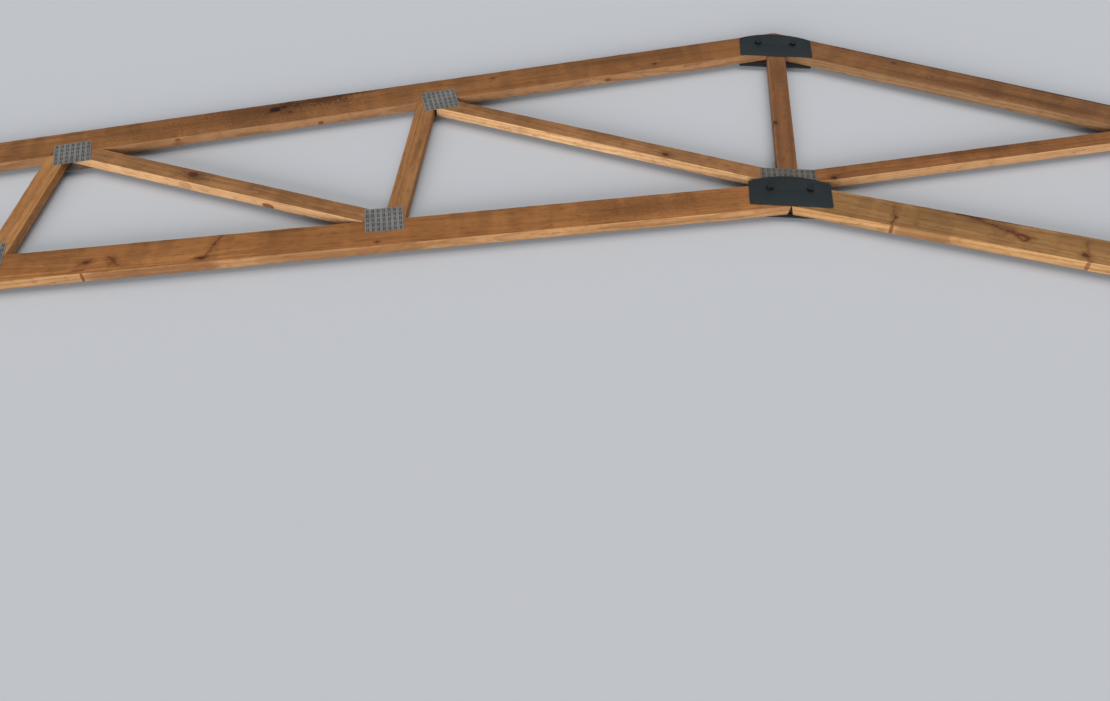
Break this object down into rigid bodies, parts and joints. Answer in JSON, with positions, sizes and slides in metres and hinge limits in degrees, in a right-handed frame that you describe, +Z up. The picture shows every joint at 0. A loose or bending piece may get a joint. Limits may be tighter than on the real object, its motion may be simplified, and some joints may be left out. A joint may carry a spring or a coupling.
{
  "type": "wooden roof truss",
  "caption": "Scissor roof truss of sawn pine in mirrored halves: toothed nail plates hold the webs, and bolted splice plates with arched tops join the halves at ridge and lower peak.",
  "frame": {"origin": "middle of the outline, on the floor the truss lies on", "axes": "+X along the span, +Y up the truss towards the ridge, +Z up through its thickness, out of its front face"},
  "size_m": [18.892, 3.3078, 0.0764],
  "materials": {
    "pine_chord": "sawn pine, warm orange brown, stained and knotty",
    "pine_web": "sawn pine, warm orange brown",
    "galvanised_plate": "dull galvanised, punched in columns",
    "slate_steel": "dark slate grey, matt",
    "dark_bolt_steel": "darkened steel"
  },
  "bodies": {
    "root": {"bolts_peak": "dark_bolt_steel", "bolts_ridge": "dark_bolt_steel", "bottom_chord_inner_left": "pine_chord", "bottom_chord_inner_right": "pine_chord", "bottom_chord_outer_left": "pine_chord", "bottom_chord_outer_right": "pine_chord", "diagonal_end_left": "pine_web", "diagonal_end_right": "pine_web", "diagonal_inner_left": "pine_web", "diagonal_inner_right": "pine_web", "diagonal_middle_left": "pine_web", "diagonal_middle_right": "pine_web", "diagonal_outer_left": "pine_web", "diagonal_outer_right": "pine_web", "king_post": "pine_web", "nail_plates_bottom_butt_left": "galvanised_plate", "nail_plates_bottom_butt_right": "galvanised_plate", "nail_plates_bottom_end_left": "galvanised_plate", "nail_plates_bottom_end_right": "galvanised_plate", "nail_plates_bottom_inner_left": "galvanised_plate", "nail_plates_bottom_inner_right": "galvanised_plate", "nail_plates_bottom_middle_left": "galvanised_plate", "nail_plates_bottom_middle_right": "galvanised_plate", "nail_plates_bottom_outer_left": "galvanised_plate", "nail_plates_bottom_outer_right": "galvanised_plate", "nail_plates_heel_left": "galvanised_plate", "nail_plates_heel_right": "galvanised_plate", "nail_plates_peak": "galvanised_plate", "nail_plates_ridge": "galvanised_plate", "nail_plates_top_butt_left": "galvanised_plate", "nail_plates_top_butt_right": "galvanised_plate", "nail_plates_top_end_left": "galvanised_plate", "nail_plates_top_end_right": "galvanised_plate", "nail_plates_top_inner_left": "galvanised_plate", "nail_plates_top_inner_right": "galvanised_plate", "nail_plates_top_middle_left": "galvanised_plate", "nail_plates_top_middle_right": "galvanised_plate", "nail_plates_top_outer_left": "galvanised_plate", "nail_plates_top_outer_right": "galvanised_plate", "nuts_peak": "dark_bolt_steel", "nuts_ridge": "dark_bolt_steel", "splice_plate_peak_back": "slate_steel", "splice_plate_peak_front": "slate_steel", "splice_plate_ridge_back": "slate_steel", "splice_plate_ridge_front": "slate_steel", "top_chord_inner_left": "pine_chord", "top_chord_inner_right": "pine_chord", "top_chord_outer_left": "pine_chord", "top_chord_outer_right": "pine_chord", "upright_end_left": "pine_web", "upright_end_right": "pine_web", "upright_inner_left": "pine_web", "upright_inner_right": "pine_web", "upright_middle_left": "pine_web", "upright_middle_right": "pine_web", "upright_outer_left": "pine_web", "upright_outer_right": "pine_web"}
  },
  "joints": []
}
